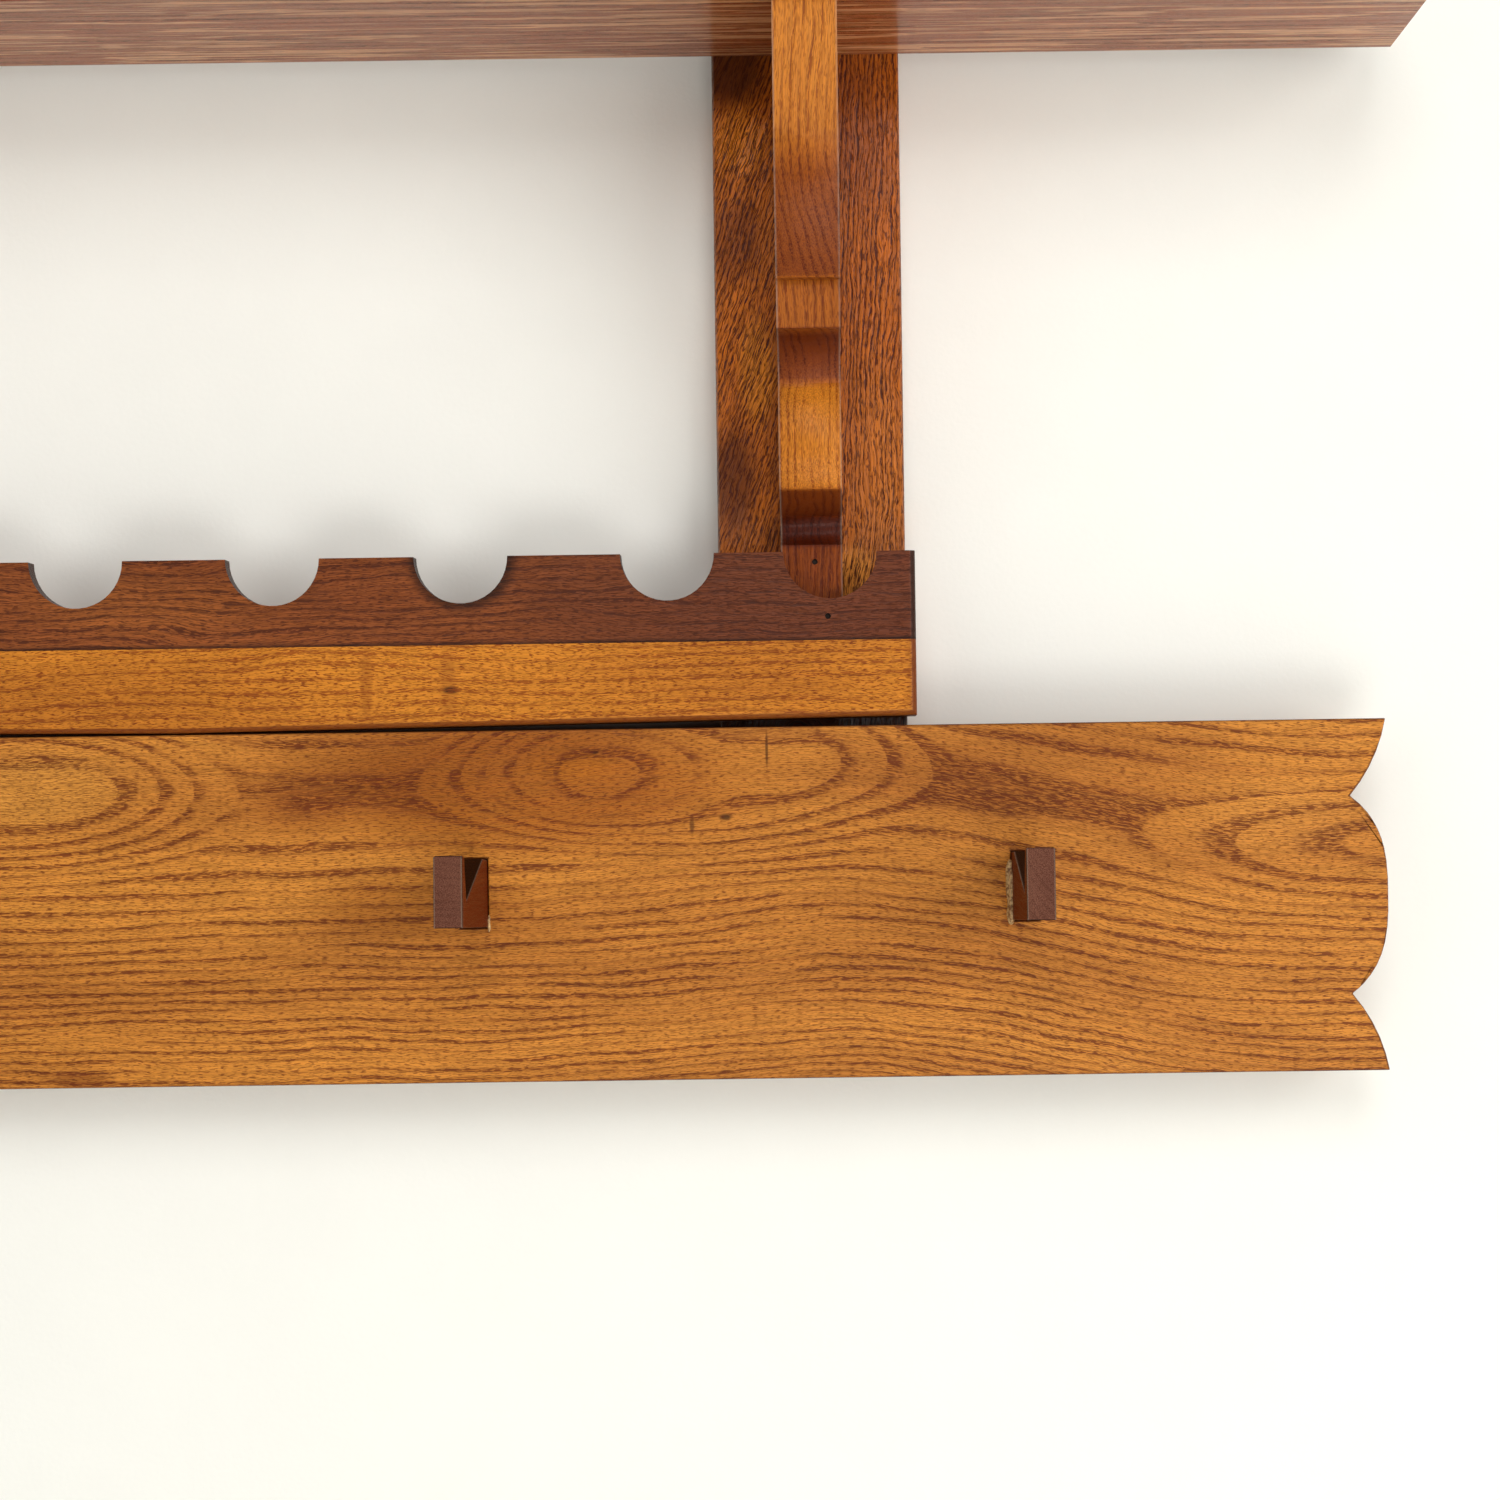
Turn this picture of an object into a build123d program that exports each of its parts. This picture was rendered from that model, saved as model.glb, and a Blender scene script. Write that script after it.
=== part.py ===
"""A wall rack for billiard cues, in oak: a shallow shelf on two shaped brackets, a notched rail that the cues
stand in, and a peg board with scalloped ends and four hooked pegs.

Millimetres. X runs along the rack, -Y points from the wall to the room and Z points up. The origin is on the
wall, halfway between the two hanging holes. Each function makes one kind of piece, and each piece is one node.
"""

from build123d import *
from math import asin, cos, degrees, radians, sin
import os

# Shelf
SHELF_LENGTH = 880
SHELF_DEPTH = 82
SHELF_THICKNESS = 19

# Uprights, which lie flat on the wall and carry everything
UPRIGHT_SPACING = 454
UPRIGHT_WIDTH = 68
UPRIGHT_THICKNESS = 20
UPRIGHT_END_SETBACK = 12

# Notched strip and the rail under it
SHELF_TO_STRIP = 182.5
STRIP_HEIGHT = 31.5
STRIP_THICKNESS = 7.5
RAIL_THICKNESS = 22
RAIL_HEIGHT_MIDDLE = 30
RAIL_HEIGHT_ENDS = 27
RAIL_OVERHANG = 36.8
NOTCH_RADIUS = 16.7
NOTCH_CENTRES = (35, 102, 175.5, 233.5)

# Peg board
BOARD_LENGTH = 862
BOARD_HEIGHT = 125.5
BOARD_THICKNESS = 20
BOARD_GAP = 0.5
SCALLOP_DEPTH = 13.3
LOBE_SHOULDER_HEIGHT = 20.5
LOBE_SHOULDER_DEPTH = 2.4
HALF_LOBE_HEIGHT = 27.5
HALF_LOBE_RADIUS = 58
HALF_LOBE_SETBACK = 0.3

# Pegs
PEG_CENTRES = (105, 301.5)
PEG_WIDTH = 9.6
PEG_HEIGHT = 24
PEG_REACH = 70
PEG_DROP = 58
PEG_TILT = 2.5
PEG_LIP = 6
PEG_NOTCH_LENGTH = 52
PEG_NOTCH_DEPTH = 15.3
PEG_NOTCH_HEEL = 5.5
PEG_CLEARANCE = 0.2
PEG_TRIM = 5

# Brackets, seen from the side: reach is measured out from the upright and drop down from the shelf
BRACKET_THICKNESS = 22
NOSE_REACH = 76
NOSE_DROP = 45
BELLY_REACH = 60
BELLY_DROP = 92
FILLET_REACH = 55
FILLET_DROP = 108.5
COVE_BACK = (40, 111.5)
LOBE_TOP = (31, 124)
LOBE_FRONT = (37.5, 144)
LOBE_ARRIS = (33, 161.5)
LOBE_BOTTOM = (13, 169)
SCOOP_BACK = (10.5, 174)
SCOOP_DROP = 179.5

# Fasteners
SCREW_RADIUS = 2
SCREW_HEAD_RADIUS = 4
SCREW_INTO_BRACKET = 45
SCREW_INTO_SHELF = 45
SCREW_INTO_RAIL = 36
SCREW_INTO_BOARD = 34
SCREW_SIDE_OFFSET = 21
BRACKET_SCREW_DROPS = (22, 98, 146)
BOARD_SCREW_DROPS = (27, 90)
NAIL_RADIUS = 0.7
NAIL_HEAD_RADIUS = 1.0
NAIL_HEAD_THICKNESS = 0.7
NAIL_SET = 1.2
FASTENER_CLEARANCE = 0.05
BRACKET_NAIL_LENGTH = 24
SCOOP_NAIL_DROP = 171
TAIL_NAIL_DROP = 185.5
TAIL_NAIL_OFFSET = 1.1
STRIP_NAIL_LENGTH = 32
STRIP_NAIL_OFFSET = 5.5
STRIP_NAIL_RISE = 8.5
SHELF_NAIL_LENGTH = 45
SHELF_NAIL_REACHES = (36, 63)

# Hanging plates, let into the backs of the uprights
PLATE_THICKNESS = 2
PLATE_WIDTH = 20
PLATE_BELOW_HOLE = 44
HANGING_HOLE_RADIUS = 2.5
HANGING_HOLE_HEIGHT = 12
PLATE_SCREW_RADIUS = 1.5
PLATE_SCREW_HEAD_RADIUS = 2.9
PLATE_SCREW_LENGTH = 14
PLATE_SCREW_DROPS = (21, 36)
PLATE_CLEARANCE = 0.2

# Screw slots, in head radii
SLOT_LENGTH = 2.2
SLOT_WIDTH = 0.28
SLOT_HEIGHT = 0.5

# Softened edges
EDGE_RADIUS = 1.0
RAIL_EDGE_RADIUS = 2.4

# How far cutting shapes pass a surface, and how close to a plane an edge counts as lying in it
OVERCUT = 1
PLANE_TOLERANCE = 0.01

# Levels and planes that follow from the sizes above
SIDES = {"left": -1, "right": 1}
UPRIGHT_FRONT = -UPRIGHT_THICKNESS
BOARD_FRONT = UPRIGHT_FRONT - BOARD_THICKNESS
RAIL_FRONT = UPRIGHT_FRONT - RAIL_THICKNESS
STRIP_BACK = RAIL_FRONT + STRIP_THICKNESS
TAIL_REACH = RAIL_THICKNESS - STRIP_THICKNESS
SHELF_FRONT = UPRIGHT_FRONT - SHELF_DEPTH
SHELF_TOP = -HANGING_HOLE_HEIGHT
SHELF_UNDERSIDE = SHELF_TOP - SHELF_THICKNESS
STRIP_TOP = SHELF_UNDERSIDE - SHELF_TO_STRIP
RAIL_TOP = STRIP_TOP - STRIP_HEIGHT
BOARD_TOP = RAIL_TOP - RAIL_HEIGHT_MIDDLE - BOARD_GAP
BOARD_BOTTOM = BOARD_TOP - BOARD_HEIGHT
PEG_LEVEL = BOARD_TOP - PEG_DROP
UPRIGHT_BOTTOM = BOARD_BOTTOM + UPRIGHT_END_SETBACK
RAIL_HALF_LENGTH = UPRIGHT_SPACING / 2 + RAIL_OVERHANG
BOARD_HALF_LENGTH = BOARD_LENGTH / 2


def slab(x, y, z):
    """A straight board between two limits along each axis."""
    size = [max(limits) - min(limits) for limits in (x, y, z)]
    centre = [sum(limits) / 2 for limits in (x, y, z)]
    return Pos(*centre) * Box(*size)


def front_plate(outline, back, thickness):
    """A board cut to an outline seen from the front, from the plane y = back towards the room."""
    face = make_face(Plane.XZ.offset(-back) * outline)
    return extrude(face, thickness, dir=(0, -1, 0))


def on_plane(shape, axis, value):
    """The edges of a shape that lie wholly in one plane across an axis."""
    return shape.edges().filter_by_position(axis, value - PLANE_TOLERANCE, value + PLANE_TOLERANCE)


def wood_screw(length, radius, head_radius, clearance=0.0):
    """A countersunk wood screw with its head flush at z = 0 and its point down, or its hole with clearance."""
    shank = radius + clearance
    head = head_radius + clearance
    tip = -length - clearance
    outline = Polyline(
        (0, 0),
        (head, 0),
        (shank, shank - head),
        (shank, tip + 2 * shank),
        (0, tip),
        close=True,
    )
    return revolve(make_face(Plane.XZ * outline), Axis.Z)


def screw_slot(head_radius):
    """The driver slot across a screw's head."""
    return Box(SLOT_LENGTH * head_radius, SLOT_WIDTH * head_radius, SLOT_HEIGHT * head_radius)


def nail(length, clearance=0.0):
    """A finishing nail driven down from z = 0, its head set below the surface, or its hole with clearance."""
    head = NAIL_HEAD_RADIUS + clearance
    shank = NAIL_RADIUS + clearance
    head_top = 0 if clearance else -NAIL_SET
    neck = -NAIL_SET - NAIL_HEAD_THICKNESS - clearance
    tip = -length - clearance
    outline = Polyline(
        (0, head_top),
        (head, head_top),
        (head, neck),
        (shank, neck),
        (shank, tip + 3 * shank),
        (0, tip),
        close=True,
    )
    return revolve(make_face(Plane.XZ * outline), Axis.Z)


def from_behind(x, z):
    """Where a screw driven from the wall side towards the room starts."""
    return Pos(x, 0, z) * Rot(-90, 0, 0)


def from_front(x, y, z):
    """Where a nail driven from the room side towards the wall starts."""
    return Pos(x, y, z) * Rot(90, 0, 0)


def fastener_groups():
    """For each group of like fasteners: its starting places, and the functions that make one and its hole."""
    centres = [side * UPRIGHT_SPACING / 2 for side in SIDES.values()]
    pairs = [x + offset for x in centres for offset in (-SCREW_SIDE_OFFSET, SCREW_SIDE_OFFSET)]
    shelf_level = (SHELF_TOP + SHELF_UNDERSIDE) / 2
    rail_level = RAIL_TOP - RAIL_HEIGHT_ENDS / 2
    bracket_levels = [SHELF_UNDERSIDE - drop for drop in BRACKET_SCREW_DROPS]
    board_levels = [BOARD_TOP - drop for drop in BOARD_SCREW_DROPS]
    screws = {
        "shelf_screws": (SCREW_INTO_SHELF, [(x, shelf_level) for x in pairs]),
        "bracket_screws": (SCREW_INTO_BRACKET, [(x, z) for x in centres for z in bracket_levels]),
        "rail_screws": (SCREW_INTO_RAIL, [(x, rail_level) for x in pairs]),
        "peg_board_screws": (SCREW_INTO_BOARD, [(x, z) for x in pairs for z in board_levels]),
    }
    groups = {}
    for name, (length, places) in screws.items():
        screw = wood_screw(length, SCREW_RADIUS, SCREW_HEAD_RADIUS) - screw_slot(SCREW_HEAD_RADIUS)
        hole = wood_screw(length, SCREW_RADIUS, SCREW_HEAD_RADIUS, FASTENER_CLEARANCE)
        groups[name] = ([from_behind(x, z) for x, z in places], screw, hole)

    plate_screw = wood_screw(PLATE_SCREW_LENGTH, PLATE_SCREW_RADIUS, PLATE_SCREW_HEAD_RADIUS)
    plate_screw -= screw_slot(PLATE_SCREW_HEAD_RADIUS)
    plate_hole = wood_screw(
        PLATE_SCREW_LENGTH, PLATE_SCREW_RADIUS, PLATE_SCREW_HEAD_RADIUS, FASTENER_CLEARANCE
    )
    plate_places = [from_behind(x, -drop) for x in centres for drop in PLATE_SCREW_DROPS]
    groups["hanging_plate_screws"] = (plate_places, plate_screw, plate_hole)

    scoop_front = UPRIGHT_FRONT - SCOOP_BACK[0]
    tail_front = UPRIGHT_FRONT - TAIL_REACH
    scoop_level = SHELF_UNDERSIDE - SCOOP_NAIL_DROP
    tail_level = SHELF_UNDERSIDE - TAIL_NAIL_DROP
    tail_nails = []
    strip_nails = []
    shelf_nails = []
    for side in SIDES.values():
        centre = side * UPRIGHT_SPACING / 2
        outwards = side * TAIL_NAIL_OFFSET
        tail_nails.append(from_front(centre - outwards, scoop_front, scoop_level))
        tail_nails.append(from_front(centre + outwards, tail_front, tail_level))
        strip_nails.append(from_front(centre + side * STRIP_NAIL_OFFSET, RAIL_FRONT, RAIL_TOP + STRIP_NAIL_RISE))
        shelf_nails += [Pos(centre, UPRIGHT_FRONT - reach, SHELF_TOP) for reach in SHELF_NAIL_REACHES]
    nails = {
        "bracket_nails": (BRACKET_NAIL_LENGTH, tail_nails),
        "strip_nails": (STRIP_NAIL_LENGTH, strip_nails),
        "shelf_nails": (SHELF_NAIL_LENGTH, shelf_nails),
    }
    for name, (length, places) in nails.items():
        groups[name] = (places, nail(length), nail(length, FASTENER_CLEARANCE))
    return groups


def shelf_board():
    half = SHELF_LENGTH / 2
    board = slab((-half, half), (SHELF_FRONT, UPRIGHT_FRONT), (SHELF_UNDERSIDE, SHELF_TOP))
    return fillet(on_plane(board, Axis.Y, SHELF_FRONT), EDGE_RADIUS)


def upright(side):
    """One upright, with the shallow recess for its hanging plate at the top of its back."""
    centre = side * UPRIGHT_SPACING / 2
    half = UPRIGHT_WIDTH / 2
    board = slab((centre - half, centre + half), (UPRIGHT_FRONT, 0), (UPRIGHT_BOTTOM, SHELF_TOP))
    front = on_plane(board, Axis.Y, UPRIGHT_FRONT).filter_by(Axis.Z)
    board = fillet(front, EDGE_RADIUS)
    half_recess = PLATE_WIDTH / 2 + PLATE_CLEARANCE
    recess = slab(
        (centre - half_recess, centre + half_recess),
        (-PLATE_THICKNESS - PLATE_CLEARANCE, OVERCUT),
        (-PLATE_BELOW_HOLE - PLATE_CLEARANCE, OVERCUT),
    )
    return board - recess


def bracket(side):
    """One bracket: a square nose, a belly, a fillet, a cove, a lobe cut off below, a scoop and a flat tail."""
    tail_drop = SHELF_UNDERSIDE - RAIL_TOP
    side_view = Plane(
        origin=(side * UPRIGHT_SPACING / 2, UPRIGHT_FRONT, SHELF_UNDERSIDE),
        x_dir=(0, -1, 0),
        z_dir=(-1, 0, 0),
    )

    def at(reach, drop):
        return (reach, -drop)

    nose_end = at(NOSE_REACH, NOSE_DROP)
    belly_end = at(BELLY_REACH, BELLY_DROP)
    fillet_end = at(FILLET_REACH, FILLET_DROP)
    scoop_end = at(TAIL_REACH, SCOOP_DROP)
    nose = Polyline(at(0, tail_drop), at(0, 0), at(NOSE_REACH, 0), nose_end)
    belly = JernArc(nose_end, (0, -1), belly_radius(), -belly_angle())
    fillet_face = Polyline(belly_end, at(FILLET_REACH, BELLY_DROP), fillet_end)
    cove = ThreePointArc(fillet_end, at(*COVE_BACK), at(*LOBE_TOP))
    lobe = ThreePointArc(at(*LOBE_TOP), at(*LOBE_FRONT), at(*LOBE_ARRIS))
    underside = Line(at(*LOBE_ARRIS), at(*LOBE_BOTTOM))
    scoop = ThreePointArc(at(*LOBE_BOTTOM), at(*SCOOP_BACK), scoop_end)
    tail = Polyline(scoop_end, at(TAIL_REACH, tail_drop), at(0, tail_drop))
    outline = nose + belly + fillet_face + cove + lobe + underside + scoop + tail
    return extrude(make_face(side_view * outline), BRACKET_THICKNESS / 2, both=True)


def belly_radius():
    """The radius of the arc that leaves the nose straight down and ends at the belly's reach and drop."""
    run = NOSE_REACH - BELLY_REACH
    fall = BELLY_DROP - NOSE_DROP
    return (run**2 + fall**2) / (2 * run)


def belly_angle():
    """The turn of that arc, in degrees."""
    return degrees(asin((BELLY_DROP - NOSE_DROP) / belly_radius()))


def notched_strip():
    half = RAIL_HALF_LENGTH
    strip = slab((-half, half), (RAIL_FRONT, STRIP_BACK), (RAIL_TOP, STRIP_TOP))
    end_edges = on_plane(strip, Axis.Y, RAIL_FRONT).filter_by(Axis.Z)
    strip = fillet(end_edges, RAIL_EDGE_RADIUS)
    for centre in NOTCH_CENTRES:
        for side in SIDES.values():
            hole = Cylinder(NOTCH_RADIUS, 3 * STRIP_THICKNESS, rotation=(90, 0, 0))
            strip -= Pos(side * centre, RAIL_FRONT, STRIP_TOP) * hole
    return strip


def cue_rail():
    """The rail under the strip. Its lower edge rises a little from the middle towards both ends."""
    half = RAIL_HALF_LENGTH
    ends = RAIL_TOP - RAIL_HEIGHT_ENDS
    outline = Polyline(
        (-half, RAIL_TOP),
        (half, RAIL_TOP),
        (half, ends),
        (0, RAIL_TOP - RAIL_HEIGHT_MIDDLE),
        (-half, ends),
        close=True,
    )
    rail = front_plate(outline, UPRIGHT_FRONT, RAIL_THICKNESS)
    front = on_plane(rail, Axis.Y, RAIL_FRONT)
    top = on_plane(rail, Axis.Z, RAIL_TOP)
    return fillet(front - top, RAIL_EDGE_RADIUS)


def peg_board():
    """The board with a half lobe, a whole lobe and a half lobe down each end."""
    half = BOARD_HALF_LENGTH
    valley = half - SCALLOP_DEPTH
    corner = half - HALF_LOBE_SETBACK
    shoulder = half - LOBE_SHOULDER_DEPTH
    upper_valley = BOARD_TOP - HALF_LOBE_HEIGHT
    lower_valley = BOARD_BOTTOM + HALF_LOBE_HEIGHT
    middle = (upper_valley + lower_valley) / 2
    whole_lobe = Spline(
        (valley, upper_valley),
        (shoulder, middle + LOBE_SHOULDER_HEIGHT),
        (half, middle),
        (shoulder, middle - LOBE_SHOULDER_HEIGHT),
        (valley, lower_valley),
    )
    right_end = (
        RadiusArc((corner, BOARD_TOP), (valley, upper_valley), HALF_LOBE_RADIUS)
        + whole_lobe
        + RadiusArc((valley, lower_valley), (corner, BOARD_BOTTOM), HALF_LOBE_RADIUS)
    )
    outline = (
        Line((-corner, BOARD_TOP), (corner, BOARD_TOP))
        + right_end
        + Line((corner, BOARD_BOTTOM), (-corner, BOARD_BOTTOM))
        + mirror(right_end, Plane.YZ)
    )
    board = front_plate(outline, UPRIGHT_FRONT, BOARD_THICKNESS)
    for centre in PEG_CENTRES:
        for side in SIDES.values():
            board -= peg_bar(side * centre, PEG_CLEARANCE)
    return board


def peg_frame(x):
    """Side view of a peg: across is out from the board's front, up is up, and both lean with the peg."""
    lean = radians(PEG_TILT)
    outwards = (0, -cos(lean), sin(lean))
    return Plane(origin=(x, BOARD_FRONT, PEG_LEVEL), x_dir=outwards, z_dir=(-1, 0, 0))


def peg_bar(x, clearance=0.0):
    """The plain bar that a peg is cut from, longer than the board is thick. With clearance, it is the mortise."""
    half_height = PEG_HEIGHT / 2 + clearance
    back = -BOARD_THICKNESS - PEG_TRIM
    outline = Polyline(
        (back, -half_height),
        (PEG_REACH, -half_height),
        (PEG_REACH, half_height),
        (back, half_height),
        close=True,
    )
    face = make_face(peg_frame(x) * outline)
    return extrude(face, PEG_WIDTH / 2 + clearance, both=True)


def peg(x):
    """One peg, flush with the back of the board, with a long sloping notch behind an upturned lip."""
    top = PEG_HEIGHT / 2
    lip = PEG_REACH - PEG_LIP
    valley = (lip - PEG_NOTCH_HEEL, top - PEG_NOTCH_DEPTH)
    outline = Polyline((lip - PEG_NOTCH_LENGTH, top), (lip, top), valley, close=True)
    notch = extrude(make_face(peg_frame(x) * outline), PEG_WIDTH, both=True)
    behind = slab(
        (x - PEG_WIDTH, x + PEG_WIDTH),
        (UPRIGHT_FRONT, 0),
        (PEG_LEVEL - PEG_HEIGHT, PEG_LEVEL + PEG_HEIGHT),
    )
    return peg_bar(x) - notch - behind


def hanging_plate(side):
    """A brass plate with a round top and one hanging hole, flush with the back of its upright."""
    centre = side * UPRIGHT_SPACING / 2
    half = PLATE_WIDTH / 2
    tongue = slab((centre - half, centre + half), (-PLATE_THICKNESS, 0), (-PLATE_BELOW_HOLE, 0))
    head = Pos(centre, -PLATE_THICKNESS / 2, 0) * Cylinder(half, PLATE_THICKNESS, rotation=(90, 0, 0))
    hole = Cylinder(HANGING_HOLE_RADIUS, 3 * PLATE_THICKNESS, rotation=(90, 0, 0))
    return tongue + head - Pos(centre, 0, 0) * hole


def without_holes_for(part, *groups):
    """The part, bored for every fastener in those groups."""
    for places, _, hole in groups:
        for place in places:
            part -= place * hole
    return part


def rack():
    """Every node by name."""
    groups = fastener_groups()
    nodes = {
        "shelf_board": without_holes_for(shelf_board(), groups["shelf_screws"], groups["shelf_nails"]),
        "notched_strip": without_holes_for(notched_strip(), groups["strip_nails"]),
        "cue_rail": without_holes_for(cue_rail(), groups["rail_screws"]),
        "peg_board": without_holes_for(peg_board(), groups["peg_board_screws"]),
    }
    for name, side in SIDES.items():
        nodes[name + "_upright"] = without_holes_for(
            upright(side),
            groups["shelf_screws"],
            groups["bracket_screws"],
            groups["rail_screws"],
            groups["peg_board_screws"],
            groups["hanging_plate_screws"],
            groups["bracket_nails"],
            groups["strip_nails"],
        )
        nodes[name + "_bracket"] = without_holes_for(
            bracket(side),
            groups["bracket_screws"],
            groups["bracket_nails"],
            groups["strip_nails"],
            groups["shelf_nails"],
        )
        nodes[name + "_hanging_plate"] = without_holes_for(
            hanging_plate(side), groups["hanging_plate_screws"]
        )
    peg_places = sorted(side * centre for side in SIDES.values() for centre in PEG_CENTRES)
    for number, x in enumerate(peg_places, start=1):
        nodes[f"peg_{number}"] = peg(x)
    for name, (places, fastener, _) in groups.items():
        nodes[name] = Compound([place * fastener.solid() for place in places])
    return nodes


os.makedirs("parts", exist_ok=True)
for name, shape in rack().items():
    export_step(shape, f"parts/{name}.step")
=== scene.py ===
"""Looks for the oak wall cue rack: materials, softened edges, small glue marks, wall, lights and camera.

Objects are in metres in the row frame. The wall is the plane y = 0, x is 0 in the middle of the rack, +X
runs to the viewer's right, -Y points to the room and +Z is up. Materials, edges and glue are given in
millimetres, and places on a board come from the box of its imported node.
"""

from math import cos, pi, radians, sin
from random import Random

import bmesh
import bpy
from mathutils import Matrix, Vector


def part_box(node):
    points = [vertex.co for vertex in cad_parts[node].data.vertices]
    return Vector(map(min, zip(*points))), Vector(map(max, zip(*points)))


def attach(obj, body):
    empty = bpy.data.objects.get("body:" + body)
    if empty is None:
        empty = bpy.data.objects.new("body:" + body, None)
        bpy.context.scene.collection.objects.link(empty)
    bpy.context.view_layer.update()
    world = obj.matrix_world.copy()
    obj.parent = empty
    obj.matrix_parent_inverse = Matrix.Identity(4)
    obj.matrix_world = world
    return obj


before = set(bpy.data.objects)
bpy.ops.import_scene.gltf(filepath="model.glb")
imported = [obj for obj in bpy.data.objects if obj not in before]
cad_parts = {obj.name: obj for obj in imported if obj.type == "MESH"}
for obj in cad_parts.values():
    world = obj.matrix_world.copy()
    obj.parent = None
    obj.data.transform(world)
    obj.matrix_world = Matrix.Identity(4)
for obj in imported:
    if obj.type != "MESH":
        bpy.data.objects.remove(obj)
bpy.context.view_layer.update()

MM = 0.001
AXES = "XYZ"


def box_of(node):
    """A node's lowest and highest corners, in millimetres."""
    return [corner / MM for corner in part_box(node)]


board_low, board_high = box_of("peg_board")
board_top = board_high.z
rail_low, rail_high = box_of("cue_rail")
strip_low, strip_high = box_of("notched_strip")
shelf_low, shelf_high = box_of("shelf_board")

# Shader graphs ---------------------------------------------------------------------------------------------


class Graph:
    """Adds nodes to one material. Its methods return output sockets, and take sockets or plain values."""

    def __init__(self, name):
        self.material = bpy.data.materials.new(name)
        self.material.use_nodes = True
        self.tree = self.material.node_tree
        self.tree.nodes.clear()

    def feed(self, socket, value):
        """Links an input to a socket, or sets it to a plain value."""
        if isinstance(value, bpy.types.NodeSocket):
            self.tree.links.new(value, socket)
        else:
            socket.default_value = value

    def add(self, kind, inputs, output=0, **settings):
        """One of the outputs of a new node, whose inputs are given by number or name."""
        made = self.tree.nodes.new("ShaderNode" + kind)
        for name, value in settings.items():
            setattr(made, name, value)
        for key, value in inputs.items():
            self.feed(made.inputs[key], value)
        return made.outputs[output] if made.outputs else None

    def math(self, operation, first, second=0.0):
        return self.add("Math", {0: first, 1: second}, operation=operation)

    def plus(self, first, second):
        return self.math("ADD", first, second)

    def minus(self, first, second):
        return self.math("SUBTRACT", first, second)

    def times(self, first, second):
        return self.math("MULTIPLY", first, second)

    def greater(self, first, second):
        return self.math("MAXIMUM", first, second)

    def vector(self, x, y, z):
        return self.add("CombineXYZ", {0: x, 1: y, 2: z})

    def vector_math(self, operation, first, second, output=0):
        return self.add("VectorMath", {0: first, 1: second}, output, operation=operation)

    def length(self, vector):
        return self.vector_math("LENGTH", vector, (0, 0, 0), "Value")

    def offset(self, first, second, centre):
        """The vector from a centre to a point, in the plane of two coordinates."""
        return self.vector(self.minus(first, centre[0]), self.minus(second, centre[1]), 0.0)

    def place(self):
        """The x, y and z of the point in the row frame, in millimetres."""
        point = self.add("TexCoord", {}, "Object")
        point = self.vector_math("MULTIPLY", point, (1 / MM, 1 / MM, 1 / MM))
        return tuple(self.add("SeparateXYZ", {0: point}).node.outputs)

    def noise(self, vector, detail=2.0, roughness=0.5):
        inputs = {"Vector": vector, "Scale": 1.0, "Detail": detail, "Roughness": roughness}
        return self.add("TexNoise", inputs)

    def scaled_noise(self, point, scales, detail):
        """Noise at a point whose coordinates are each multiplied by a scale."""
        scaled = [self.times(value, scale) for value, scale in zip(point, scales)]
        return self.noise(self.vector(*scaled), detail)

    def stretched_noise(self, grain, seed, length, width, detail=2.0, roughness=0.5):
        """Noise whose marks are about that long along the grain and that wide across it, in millimetres."""
        along, across, depth = grain
        vector = self.vector(
            self.plus(self.times(along, 1 / length), seed),
            self.times(across, 1 / width),
            self.times(depth, 1 / width),
        )
        return self.noise(vector, detail, roughness)

    def step(self, value, start, end, low=0.0, high=1.0):
        """A smooth step of the value from low at start to high at end."""
        inputs = {"Value": value, "From Min": start, "From Max": end, "To Min": low, "To Max": high}
        return self.add("MapRange", inputs, interpolation_type="SMOOTHSTEP")

    def fall(self, value, start, end):
        """A smooth step of the value down from 1 at start to 0 at end."""
        return self.step(value, start, end, low=1.0, high=0.0)

    def vary(self, noise, low, high, spread=0.2):
        """A value that follows noise from low to high, with both ends reached a spread away from 0.5."""
        return self.step(noise, 0.5 - spread, 0.5 + spread, low, high)

    def spot(self, first, second, centre, radii, core):
        """1 in the core of an ellipse in two coordinates, falling smoothly to 0 at its edge."""
        offset = self.offset(first, second, centre)
        scaled = self.vector_math("DIVIDE", offset, (radii[0], radii[1], 1.0))
        return self.fall(self.length(scaled), core, 1.0)

    def near(self, value, position, width):
        """1 where the value is at the position, falling smoothly to 0 at that width from it."""
        return self.fall(self.math("ABSOLUTE", self.minus(value, position)), 0.0, width)

    def facing(self, axis):
        """How squarely the surface faces along an axis, from 0 to 1, either way round."""
        normal = self.add("NewGeometry", {}, "True Normal")
        return self.math("ABSOLUTE", self.add("SeparateXYZ", {0: normal}, AXES.index(axis)))

    def profile(self, value, stops):
        """A value drawn through stops, each a position and a level from 0 to 1."""
        first, last = stops[0][0], stops[-1][0]
        span = {"Value": value, "From Min": first, "From Max": last}
        ramp = self.add("ValToRGB", {0: self.add("MapRange", span)})
        elements = ramp.node.color_ramp.elements
        while len(elements) < len(stops):
            elements.new(0.5)
        for element, (position, level) in zip(elements, stops):
            element.position = (position - first) / (last - first)
            element.color = (level, level, level, 1.0)
        return ramp

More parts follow.
